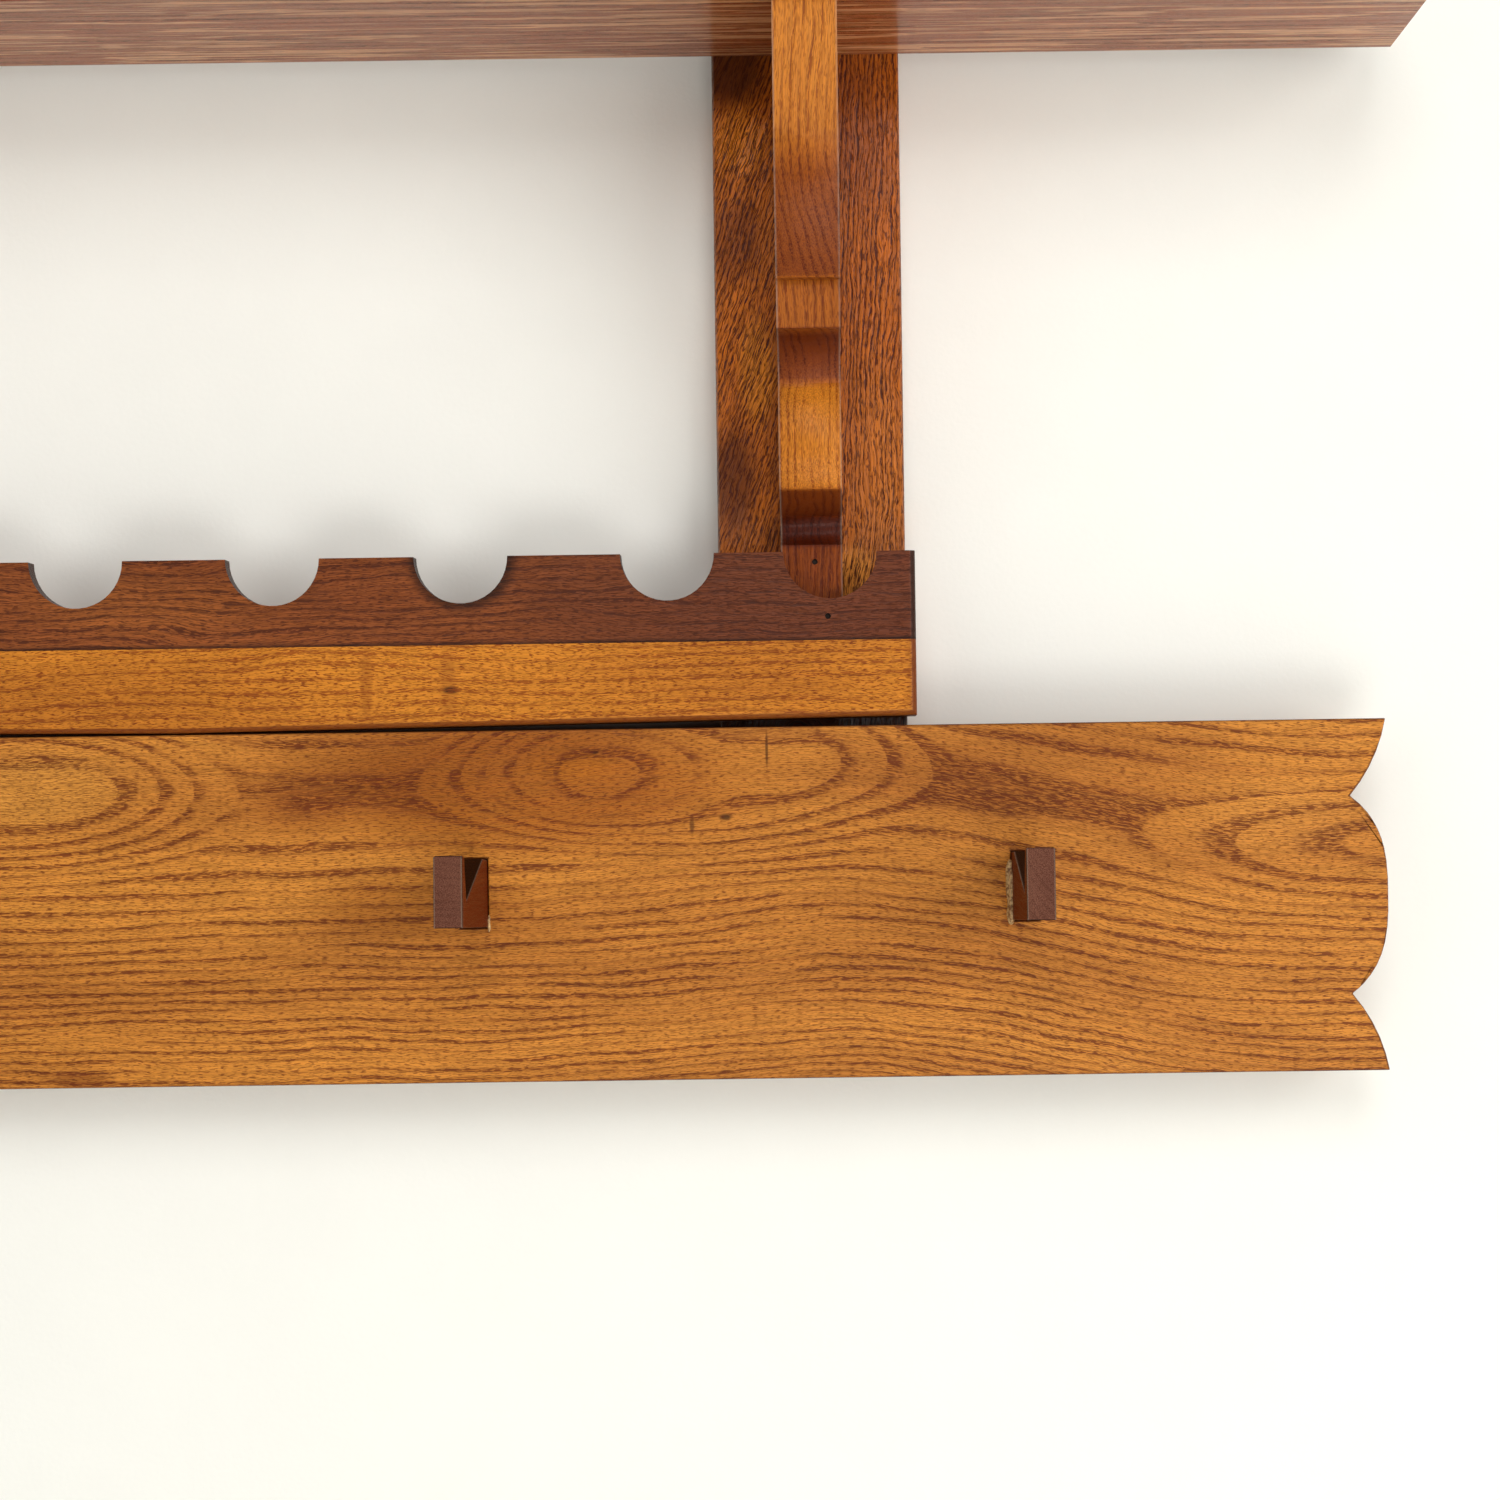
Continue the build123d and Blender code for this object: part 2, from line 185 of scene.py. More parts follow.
    def mix(self, factor, first, second, blend="MIX"):
        """The first colour where the factor is 0, and the second, or their blend, where it is 1."""
        made = self.tree.nodes.new("ShaderNodeMix")
        made.data_type = "RGBA"
        made.blend_type = blend
        values = {"Factor": factor, "A": first, "B": second}
        for socket in made.inputs:
            if socket.enabled and socket.name in values:
                self.feed(socket, values[socket.name])
        return next(socket for socket in made.outputs if socket.enabled)

    def shade(self, colour, factor, warmth=1.0):
        """The colour made darker or lighter by a factor. Warmth above 1 makes the darker colour redder."""
        cool = self.math("POWER", factor, warmth)
        return self.mix(1.0, colour, self.vector(factor, cool, cool), "MULTIPLY")

    def bump(self, height, distance):
        return self.add("Bump", {"Height": height, "Strength": 1.0, "Distance": distance})

    def finish(self, inputs):
        """The material, whose surface is a Principled shader with these inputs."""
        shader = self.add("BsdfPrincipled", inputs)
        self.add("OutputMaterial", {"Surface": shader})
        return self.material


def srgb(red, green, blue):
    """A colour given as 0 to 255 display values, as the linear colour that a shader takes."""

    def linear(value):
        value /= 255
        return value / 12.92 if value <= 0.04045 else ((value + 0.055) / 1.055) ** 2.4

    return (linear(red), linear(green), linear(blue), 1.0)


# Oak -------------------------------------------------------------------------------------------------------

AMBER = srgb(255, 176, 96)
# The pale colour of painted highlights along edges.
PAINTED_HIGHLIGHT = srgb(150, 128, 110)
# The pale colour of a painted reflection of the wall, in streaks on the shelf's underside.
PAINTED_REFLECTION = srgb(196, 144, 104)
# Near black for dirt, dark marks and joints, and also painted shade in the gap between the rail and the peg
# board.
GRIME_AND_SHADE = srgb(30, 16, 10)

# For a grain along each axis: the axes along it, across it on the board's face, and in the board's depth.
GRAIN_ORDER = {"X": (0, 2, 1), "Y": (1, 2, 0), "Z": (2, 0, 1)}

# Each layer of a board's noise is moved along the grain by its own amount, so that no two layers line up.
FADING, DASHES, SPECKS, FIBRES, CLOUDS, PLANING, REFLECTIONS = 13, 29, 31, 41, 53, 61, 67

# How squarely a surface faces along an axis, where it begins to count as facing it and where it fully does.
SLANTED, SQUARE = 0.8, 0.95

# Where in a year's growth the dark band comes in and where it fades out, each as the ends of a smooth step.
RING_START = (0.0, 0.10)
RING_END = (0.15, 0.65)

# A speck's size beside a dash's, and the part of a patch's radius that has its full tint.
SPECK_SIZE = 0.8
PATCH_CORE = 0.35

# The least brightness that painted shade leaves on the sides of a board with tones, and how softly one
# facing gives way to the next.
SIDE_TONE = 0.75
FACING_BLUR = 0.04

# Heights as shares of the relief: pores and rings are sunk, and fibres stand up.
PORE_HEIGHT, FIBRE_HEIGHT, RING_HEIGHT = -1.0, 0.8, -0.3

# The varnish's roughness at its smoothest and roughest, and how much rougher it is in the pores.
VARNISH_ROUGHNESS = (0.32, 0.5)
PORE_ROUGHNESS = 0.15


class Oak(Graph):
    """One board's varnished oak, coloured in layers: rings and pores, then stains and painted reflections,
    tones of painted shade, and edges with painted shade and highlights.
    """

    def __init__(self, name, grain, seed):
        super().__init__(name)
        self.seed = seed
        self.point = self.place()
        self.fibres = tuple(self.point[index] for index in GRAIN_ORDER[grain])

    def axis(self, name):
        return self.point[AXES.index(name)]

    def marks(self, layer, length, width, detail=2.0, roughness=0.5):
        """A layer's noise, stretched along the grain."""
        return self.stretched_noise(self.fibres, self.seed + layer, length, width, detail, roughness)

    def swellings(self, figure):
        """The figure's swellings, which keep their places while the grain swings about them."""
        along, across, _ = self.fibres
        return [
            self.times(self.spot(along, across, centre, radii, core), height)
            for centre, radii, core, height in figure
        ]

    def swing(self, lean, bends, wander):
        """Moves the grain across the board, as oak() says."""
        along, across, depth = self.fibres
        if lean:
            start, end, first_slope, last_slope, middle = lean
            slope = self.step(across, start, end, first_slope, last_slope)
            across = self.plus(across, self.times(slope, self.minus(along, middle)))
        for start, end, shift in bends:
            across = self.plus(across, self.step(along, start, end, high=shift))
        for number, (reach, length, width) in enumerate(wander):
            drift = self.stretched_noise((along, across, depth), self.seed + number, length, width)
            across = self.plus(across, self.times(self.minus(drift, 0.5), 2 * reach))
        self.fibres = (along, across, depth)

    def year_rings(self, pith, spacing, swellings):
        """How dark the rings are, from 0 to 1. They are contours of the distance to the pith, with the
        swellings added. They fade here and there, and some years are stronger than others."""
        along, across, depth = self.fibres
        radius = self.length(self.offset(across, depth, pith))
        for swelling in swellings:
            radius = self.plus(radius, swelling)
        year = self.times(radius, 1 / spacing)
        phase = self.math("FRACT", year)
        band = self.times(self.step(phase, *RING_START), self.fall(phase, *RING_END))
        fading = self.marks(FADING, length=60, width=6)
        band = self.times(band, self.step(fading, 0.3, 0.6, low=0.35))
        yearly = self.vector(self.times(year, 0.6), self.times(along, 0.01), self.seed)
        return self.times(band, self.step(self.noise(yearly, detail=1.0), 0.35, 0.6, low=0.4))

    def pore_dashes(self, band, size, lines, scatter):
        """Pores, from 0 to 1: rows of dashes in the dark part of each ring, and specks between the rows."""
        length, width = size
        dash = self.marks(DASHES, length, width, detail=1.0)
        row = self.times(self.vary(dash, 0.0, 1.0, spread=0.03), self.step(band, 0.15, 0.5))
        speck = self.marks(SPECKS, SPECK_SIZE * length, SPECK_SIZE * width, detail=1.0)
        return self.greater(self.times(row, lines), self.times(self.step(speck, 0.55, 0.62), scatter))

    def grow(self, pith, ring_spacing, swellings, pore_size, lines, scatter):
        """Works out the board's rings, pores and fibres, which its colour and relief both follow."""
        self.band = self.year_rings(pith, ring_spacing, swellings)
        self.pores = self.pore_dashes(self.band, pore_size, lines, scatter)
        self.fibre = self.marks(FIBRES, length=18, width=0.35, detail=3.0, roughness=0.65)
        self.broken = self.vary(self.fibre, 0.5, 1.0, spread=0.15)

    def paint(self, light, dark, pore, rings):
        """Gives the board its first colours."""
        self.pore_colour = pore
        self.colour = self.mix(self.times(self.band, rings), light, dark)
        self.colour = self.mix(self.pores, self.colour, pore)

    def tint(self, mask, amount, tint):
        self.colour = self.mix(self.times(mask, amount), self.colour, tint)

    def stains_and_reflections(self, patches, rims, reflection_streaks):
        """Adds the patches, the dirt along arcs and the painted reflection: pale streaks along an
        underside's grain.
        """
        for axes, centre, radii, amount, tint in patches:
            first, second = (self.axis(name) for name in axes)
            spot = self.spot(first, second, centre, radii, PATCH_CORE)
            mask = self.times(spot, self.vary(self.fibre, 0.75, 1.0, spread=0.15))
            self.tint(mask, amount, self.mix(self.pores, tint, self.pore_colour))
        for centre, radius, width in rims:
            distance = self.length(self.offset(self.axis("X"), self.axis("Z"), centre))
            self.tint(self.near(distance, radius, width), self.broken, GRIME_AND_SHADE)
        if reflection_streaks:
            # Painted reflection of the wall: pale streaks along the grain on the underside.
            height, amount = reflection_streaks
            streaks = self.step(self.marks(REFLECTIONS, length=110, width=3.0), 0.5, 0.6)
            streaks = self.times(streaks, self.near(self.axis("Z"), height, 1.0))
            streaks = self.times(streaks, self.step(self.facing("Z"), SLANTED, SQUARE))
            self.tint(streaks, amount, PAINTED_REFLECTION)

    def shade_all(self, streaks, tones):
        """Varies the brightness along the fibres and in broad clouds, and paints shade on the board's edges
        by height. Its sides are never darker than their own tone."""
        cloud = self.marks(CLOUDS, length=150, width=32)
        self.colour = self.shade(self.colour, self.vary(self.fibre, 1 - streaks, 1 + streaks))
        self.colour = self.shade(self.colour, self.vary(cloud, 0.86, 1.12), warmth=1.3)
        # Painted shade by height; on the sides it is never darker than SIDE_TONE.
        if tones:
            side = self.step(self.facing("X"), SLANTED, SQUARE, high=SIDE_TONE)
            tone = self.greater(self.profile(self.axis("Z"), tones), side)
            self.colour = self.shade(self.colour, tone, warmth=1.5)

    def tint_faces_and_edges(self, facings, arrises):
        """Adds the tints of the slanted faces, some of them painted shade, and the lines along straight
        edges, the pale ones painted highlights.
        """
        for axis, low, high, amount, tint in facings:
            facing = self.facing(axis)
            above = self.step(facing, low - FACING_BLUR, low)
            below = self.fall(facing, high - FACING_BLUR, high)
            self.tint(self.times(above, below), amount, tint)
        for axis, position, width, amount, tint in arrises:
            line = self.near(self.axis(axis), position, width)
            line = self.times(line, self.fall(self.facing(axis), SLANTED, SQUARE))
            self.tint(self.times(line, self.broken), amount, tint)

    def surface(self, relief, ridges):
        """The bumpy surface's normal: pores, fibres, rings and plane marks."""
        planing = self.marks(PLANING, length=240, width=5)
        height = self.plus(self.times(self.pores, PORE_HEIGHT), self.times(self.fibre, FIBRE_HEIGHT))
        height = self.plus(height, self.times(planing, ridges))
        return self.bump(self.plus(height, self.times(self.band, RING_HEIGHT)), relief * MM)

    def roughness(self):
        varnish = self.vary(self.fibre, *VARNISH_ROUGHNESS, spread=0.3)
        return self.plus(varnish, self.times(self.pores, PORE_ROUGHNESS))


def oak(
    name,
    grain,
    *,
    pith,
    ring_spacing,
    light,
    dark,
    pore,
    streaks,
    seed,
    rings=0.4,
    lines=0.9,
    scatter=0.5,
    wander=((5.0, 110.0, 40.0), (1.6, 26.0, 9.0)),
    bends=(),
    lean=None,
    figure=(),
    patches=(),
    rims=(),
    reflection_streaks=None,
    tones=(),
    facings=(),
    arrises=(),
    pore_size=(3.6, 0.37),
    relief=0.08,
    ridges=0.0,
    specular=0.12,
    coat=0.12,
    coat_roughness=0.2,
    haze=0.0,
):
    """A board's material. Lengths are in millimetres, and strengths run from 0 to 1.

    grain: the axis that the grain runs along. pith: where the pith lies, across the face and in depth.
    rings, lines, scatter, streaks: how strong the ring bands, the pores in them, the pores between them and
    the fine fibres are. wander: how far, how long and how wide the grain swings, at two scales. bends:
    shifts of the grain across, each from one place along it to another. lean: where across it the fibres'
    slope starts and stops changing, the slopes on both sides, and the place along the grain that they turn
    about. figure: swellings of the rings, each a centre, radii, flat core and height. patches: tinted
    ellipses, each the axes of its plane, a centre, radii, strength and tint. rims: dirt along arcs on the
    face, each a centre, radius and width. reflection_streaks: the height of an underside with a painted
    reflection of pale streaks along the grain, and their strength. tones: painted shade by height, as
    heights
    and factors. facings: tints for the faces whose normal along an axis lies between two values, some of
    them
    painted shade. arrises: lines along straight edges, the pale ones painted highlights, each an axis, the
    edge's place on it, a width, strength and tint. relief: how deep the pores and fibres are.
    ridges: how high the broad plane marks along the grain are beside them. haze: how much amber light the
    old varnish scatters at low angles.
    """
    wood = Oak(name, grain, seed)
    swellings = wood.swellings(figure)
    wood.swing(lean, bends, wander)
    wood.grow(pith, ring_spacing, swellings, pore_size, lines, scatter)
    wood.paint(light, dark, pore, rings)
    wood.stains_and_reflections(patches, rims, reflection_streaks)
    wood.shade_all(streaks, tones)
    wood.tint_faces_and_edges(facings, arrises)
    normal = wood.surface(relief, ridges)
    return wood.finish(
        {
            "Base Color": wood.colour,
            "Roughness": wood.roughness(),
            "Specular IOR Level": specular,
            "Sheen Weight": haze,
            "Sheen Roughness": 0.35,
            "Sheen Tint": AMBER,
            "Normal": normal,
            "Coat Weight": coat,
            "Coat Roughness": coat_roughness,
            "Coat IOR": 1.5,
            "Coat Normal": normal,
        }
    )


# Boards ----------------------------------------------------------------------------------------------------

peg_board_oak = oak(
    "peg_board_oak",
    "X",
    pith=(board_top - 22, 25),
    ring_spacing=2.8,
    light=srgb(195, 124, 48),
    dark=srgb(150, 80, 24),
    pore=srgb(98, 40, 14),
    rings=0.5,
    lines=0.85,
    scatter=0.75,
    streaks=0.22,
    pore_size=(3.3, 0.34),
    wander=((4.0, 110.0, 40.0), (1.5, 28.0, 9.0)),
    bends=((90, 250, -7), (225, 405, 24)),
    figure=(
        # A plain heart left of the middle, and two swellings that make the oval to its right
        ((-58, board_top - 19), (88, 42), 0.30, -9.6),
        ((140, board_top - 15), (64, 32), 0.25, -5.5),
        ((185, board_top - 8), (95, 50), 0.45, -6.7),
        # Pointed rings at the right end, and a long oval on the left half
        ((440, board_top - 48), (125, 34), 0.05, -7.0),
        ((-330, board_top - 30), (150, 40), 0.10, -12.0),
    ),
    patches=(
        # The pale heart, the brown oval with its lighter middle, and the dark cluster between the two
        ("XZ", (-50, board_top - 19), (44, 18), 0.7, srgb(206, 140, 58)),
        ("XZ", (120, board_top - 18), (110, 36), 0.8, srgb(148, 76, 16)),
        ("XZ", (140, board_top - 13), (20, 8), 0.6, srgb(172, 98, 22)),
        ("XZ", (44, board_top - 28), (24, 12), 0.25, srgb(150, 74, 20)),
        # The browner top and the pale lobe of the right end, and the darker wood below the oval
        ("XZ", (300, board_top - 16), (110, 22), 0.55, srgb(160, 92, 34)),
        ("XZ", (395, board_top - 36), (42, 18), 0.75, srgb(200, 130, 54)),
        ("XZ", (84, board_top - 62), (50, 16), 0.45, srgb(150, 84, 18)),
        # Small dark marks, and a stained patch on the lower edge
        ("XZ", (148.6, board_top - 8.2), (2.4, 0.9), 1.0, GRIME_AND_SHADE),
        ("XZ", (210, board_top - 8), (0.7, 9), 0.8, GRIME_AND_SHADE),
        ("XZ", (183, board_top - 34.7), (1.2, 4.5), 0.7, GRIME_AND_SHADE),
        ("XZ", (195, board_top - 32), (3, 1.6), 0.9, GRIME_AND_SHADE),
        ("XZ", (-36, board_low.z + 3), (16, 4), 0.6, srgb(110, 50, 14)),
    ),
    facings=(("Y", 0.0, 0.94, 0.9, srgb(84, 40, 14)),),
    seed=3.0,
)

rail_oak = oak(
    "rail_oak",
    "X",
    pith=(-330, 60),
    ring_spacing=2.4,
    light=srgb(196, 120, 36),
    dark=srgb(170, 92, 22),
    pore=srgb(130, 60, 14),
    rings=0.2,
    lines=0.8,
    scatter=1.0,
    streaks=0.2,
    pore_size=(2.8, 0.36),
    patches=(
        # Two dark stripes down the rail, and a black mark on the second
        ("XZ", (68, rail_high.z - 13), (3.0, 20), 0.5, srgb(130, 66, 20)),
        ("XZ", (97, rail_high.z - 13), (4.0, 20), 0.4, srgb(120, 60, 20)),
        ("XZ", (98, rail_high.z - 16), (4.0, 1.8), 1.0, GRIME_AND_SHADE),
    ),
    facings=(("Y", 0.0, 0.97, 0.8, srgb(112, 50, 10)),),
    arrises=(("X", rail_high.x, 4.5, 0.7, srgb(110, 46, 14)),),
    seed=11.0,
)

DIRTY_NOTCH = (102.5, strip_high.z)
NOTCH_RADIUS = 16.7
strip_oak = oak(
    "strip_oak",
    "X",
    pith=(-160, 40),
    ring_spacing=2.4,
    light=srgb(130, 68, 30),
    dark=srgb(98, 45, 22),
    pore=srgb(60, 24, 12),
    lines=0.75,
    scatter=0.7,
    streaks=0.35,
    wander=((7.0, 90.0, 30.0), (1.5, 24.0, 9.0)),
    patches=(
        # The darker right end, in two overlapping patches, and a lighter stretch near the middle
        ("XZ", (240, strip_high.z - 14.5), (110, 50), 0.85, srgb(88, 42, 26)),
        ("XZ", (165, strip_high.z - 11.5), (70, 40), 0.7, srgb(94, 46, 24)),
        ("XZ", (-10, strip_high.z - 14.5), (60, 16), 0.5, srgb(150, 84, 34)),
    ),
    rims=((DIRTY_NOTCH, NOTCH_RADIUS, 5.0),),
    facings=(("Y", 0.0, 0.97, 0.9, srgb(50, 24, 12)),),
    arrises=(("Z", rail_high.z, 1.8, 1.0, GRIME_AND_SHADE),),
    relief=0.12,
    seed=17.0,
)

shelf_oak = oak(
    "shelf_oak",
    "X",
    pith=(-90, -300),
    ring_spacing=5.0,
    light=srgb(128, 46, 12),
    dark=srgb(88, 26, 6),
    pore=srgb(56, 16, 3),
    streaks=0.45,
    # Painted reflection of the wall in pale streaks along the underside.
    reflection_streaks=(shelf_low.z, 0.9),
    relief=0.15,
    ridges=6.0,
    haze=0.45,
    coat=0.6,
    coat_roughness=0.08,
    seed=23.0,
)


def upright_oak(name, node, seed, stains):
    """An upright's wood: dashes that lean on its left half, near vertical coarse pores on its right half.
    The centre of each of the stains is given rightwards and downwards from the upright's top left corner."""
    low, high = box_of(node)
    middle = (low.x + high.x) / 2
    patches = [
        ("XZ", (low.x + right, high.z - down), radii, amount, tint)
        for right, down, radii, amount, tint in stains
    ]
    # Painted shade on the upright's front where it shows through the gap between the rail and the peg board.
    gap_shade = ("YZ", (low.y, board_top), (6, 7), 1.0, GRIME_AND_SHADE)
    return oak(
        name,
        "Z",
        pith=(low.x - 90, 0),
        ring_spacing=1.8,
        light=srgb(170, 88, 16),
        dark=srgb(116, 48, 8),
        pore=srgb(72, 24, 4),
        rings=0.6,
        lines=0.95,
        scatter=0.8,
        streaks=0.3,
        wander=((4.0, 60.0, 18.0), (1.4, 14.0, 5.0)),
        lean=(middle - 12, middle + 12, -0.34, -0.05, (low.z + high.z) / 2),
        pore_size=(3.2, 0.34),
        patches=patches + [gap_shade],
        # Painted highlights: the pale lines along both long edges.
        arrises=(
            ("X", low.x, 1.1, 0.8, PAINTED_HIGHLIGHT),
            ("X", high.x, 0.8, 0.4, PAINTED_HIGHLIGHT),
        ),
        relief=0.25,
        coat=0.4,
        coat_roughness=0.14,
        seed=seed,
    )


right_upright_oak = upright_oak(
    "right_upright_oak",
    "right_upright",
    31.0,
    (
        # The left half, lifted to amber as a whole by painted light over its shade, with dark and light
        # stains by turns down to the strip
        (10, 108, (24, 150), 0.8, srgb(206, 112, 22)),
        (6, 22, (20, 24), 0.95, srgb(60, 22, 6)),
        (10, 50, (14, 16), 1.0, srgb(226, 132, 34)),
        (7, 86, (15, 22), 0.6, srgb(104, 42, 8)),
        (15, 134, (9, 26), 1.0, srgb(222, 134, 30)),
        (6, 174, (12, 28), 0.8, srgb(76, 30, 8)),
        # The right half, dark at the top and lighter towards the strip
        (51, 48, (14, 40), 0.5, srgb(112, 50, 12)),
        (57, 178, (18, 60), 0.7, srgb(184, 106, 36)),
        # Painted light over a cast shadow, where the upright shows through a notch of the strip.
        (49, 210, (12, 16), 0.9, srgb(232, 150, 60)),
    ),
)
left_upright_oak = upright_oak(
    "left_upright_oak",
    "left_upright",
    33.0,
    (
        (11, 48, (16, 40), 0.6, srgb(74, 34, 12)),
        (55, 138, (13, 50), 0.6, srgb(160, 92, 36)),
    ),
)

# The brightness of the bracket's curved front edge, by the distance down from the shelf: painted shade where
# light falls less, and partly the darker old varnish of the hollows. It is dim on the tail at the bottom and
# in the hollows, and bright on the lobe, the step and the top.
BRACKET_PAINTED_SHADE = (
    (214.0, 0.38),
    (181.0, 0.34),
    (179.0, 0.12),
    (170.0, 0.13),
    (168.5, 0.24),
    (162.0, 0.34),
    (161.0, 0.92),
    (126.0, 0.92),
    (122.0, 0.36),
    (109.0, 0.20),
    (108.0, 0.66),
    (92.0, 0.68),
    (91.0, 0.40),
    (60.0, 0.46),
    (44.0, 0.88),
    (0.0, 1.0),
)


def bracket_oak(name, node, seed):
    """A bracket's light wood, with painted highlights on its edges and painted shade on its curved front
    edge.
    """
    low, high = box_of(node)
    return oak(
        name,
        "Z",
        pith=(low.x - 100, -40),
        ring_spacing=2.8,
        light=srgb(204, 124, 34),
        dark=srgb(170, 88, 18),
        pore=srgb(124, 52, 8),
        lines=0.75,
        streaks=0.2,
        tones=[(shelf_low.z - drop, factor) for drop, factor in BRACKET_PAINTED_SHADE],
        # Painted highlights along both edges of the front.
        arrises=(
            ("X", low.x, 0.9, 0.75, PAINTED_HIGHLIGHT),
            ("X", high.x, 0.9, 0.6, PAINTED_HIGHLIGHT),
        ),
        relief=0.12,
        coat=0.15,
        seed=seed,
    )


def peg_oak(name, node, seed):
    """A peg's dark wood: dusty on its front, and redder on its sides and near black in the sawn notch, both
    of which are painted shade.
    """
    low, high = box_of(node)
    return oak(
        name,
        "Y",
        pith=(-500, 100),
        ring_spacing=2.4,
        light=srgb(112, 46, 18),
        dark=srgb(84, 32, 12),
        pore=srgb(40, 14, 6),
        rings=0.2,
        lines=0.3,
        scatter=0.4,
        streaks=0.3,
        pore_size=(2.4, 0.4),
        patches=(("YZ", (low.y, (low.z + high.z) / 2), (5, 60), 0.95, srgb(108, 72, 58)),),
        facings=(
            # Painted shade: the sides are darker and redder.
            ("X", 0.9, 1.5, 0.6, srgb(100, 38, 14)),
            # Painted shade: near black on the slanted faces, mostly the notch's sloping face under the lip.
            ("Y", 0.2, 0.94, 0.97, srgb(30, 13, 8)),
        ),
        # Painted highlights along the front's two side edges.
        arrises=(
            ("X", low.x, 0.7, 0.8, PAINTED_HIGHLIGHT),
            ("X", high.x, 0.7, 0.8, PAINTED_HIGHLIGHT),
        ),
        specular=0.03,
        coat=0.0,
        seed=seed,
    )


# Metal -----------------------------------------------------------------------------------------------------


def metal(name, colour, roughness):
    """Plain fastener metal with fine scratches and a little tarnish."""
    graph = Graph(name)
    point = graph.place()
    tarnish = graph.scaled_noise(point, (0.5, 0.5, 0.5), detail=3.0)
    scratch = graph.scaled_noise(point, (4.0, 1.0, 0.4), detail=2.0)
    return graph.finish(
        {
            "Base Color": graph.shade(colour, graph.vary(tarnish, 0.75, 1.05)),
            "Metallic": 1.0,
            "Roughness": graph.vary(scratch, roughness - 0.08, roughness + 0.12, spread=0.3),
            "Normal": graph.bump(scratch, 0.02 * MM),
        }
    )


steel = metal("steel", srgb(150, 148, 145), 0.38)
dark_steel = metal("dark_steel", srgb(52, 44, 40), 0.55)
brass = metal("brass", srgb(190, 150, 82), 0.34)

MATERIALS = {
    "shelf_board": shelf_oak,
    "left_upright": left_upright_oak,
    "right_upright": right_upright_oak,
    "left_bracket": bracket_oak("left_bracket_oak", "left_bracket", 39.0),
    "right_bracket": bracket_oak("right_bracket_oak", "right_bracket", 37.0),
    "notched_strip": strip_oak,
    "cue_rail": rail_oak,
    "peg_board": peg_board_oak,
    "left_hanging_plate": brass,
    "right_hanging_plate": brass,
    "hanging_plate_screws": brass,
    "shelf_screws": steel,
    "bracket_screws": steel,
    "rail_screws": steel,
    "peg_board_screws": steel,
    "bracket_nails": dark_steel,
    "strip_nails": dark_steel,
    "shelf_nails": dark_steel,
}
PEGS = ("peg_1", "peg_2", "peg_3", "peg_4")
FIRST_PEG_SEED = 44.0
for number, name in enumerate(PEGS):
    MATERIALS[name] = peg_oak(f"{name}_oak", name, FIRST_PEG_SEED + number)
for name, material in MATERIALS.items():
    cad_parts[name].material_slots[0].material = material

# Softened edges --------------------------------------------------------------------------------------------

WORN_EDGES = {"left_bracket": 0.7, "right_bracket": 0.7, "peg_board": 0.7}
WORN_EDGES.update({name: 0.6 for name in PEGS})

# The facets of a curve turn by less than this, so that only real edges are softened.
SHARPEST_CURVE = radians(35)

for name, width in WORN_EDGES.items():
    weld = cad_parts[name].modifiers.new("joined_corners", "WELD")
    weld.merge_threshold = 0.001 * MM
    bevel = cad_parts[name].modifiers.new("worn_edges", "BEVEL")
    bevel.width = width * MM
    bevel.segments = 2
    bevel.limit_method = "ANGLE"
    bevel.angle_limit = SHARPEST_CURVE
    bevel.harden_normals = True
    # The short edges of the peg board's scallops would hold its whole bevel back, so it may overlap there.
    bevel.use_clamp_overlap = name != "peg_board"

# Dried glue ------------------------------------------------------------------------------------------------

GLUE_SIDES = 8
GLUE_STEPS = 7
GLUE_END_SIZE = 0.35
GLUE_PATH_SEED = 100

# The height of a peg where it enters the board. Its box is taller, because it slopes.
PEG_HEIGHT = 24


def glue_material():
    """Old hide glue: amber, slightly cloudy and glossy."""
    graph = Graph("dried_glue")
    point = graph.place()
    cloud = graph.scaled_noise(point, (0.8, 0.8, 0.8), detail=3.0)
    grit = graph.scaled_noise(point, (4.0, 4.0, 4.0), detail=2.0)
    cloudy = graph.vary(cloud, 0.0, 1.0, spread=0.15)
    colour = graph.mix(cloudy, srgb(120, 74, 30), srgb(206, 168, 112))
    return graph.finish(
        {
            "Base Color": graph.shade(colour, graph.vary(grit, 0.8, 1.1)),
            "Roughness": graph.vary(grit, 0.22, 0.4, spread=0.3),
            "Normal": graph.bump(grit, 0.1 * MM),
        }
    )


glue = glue_material()


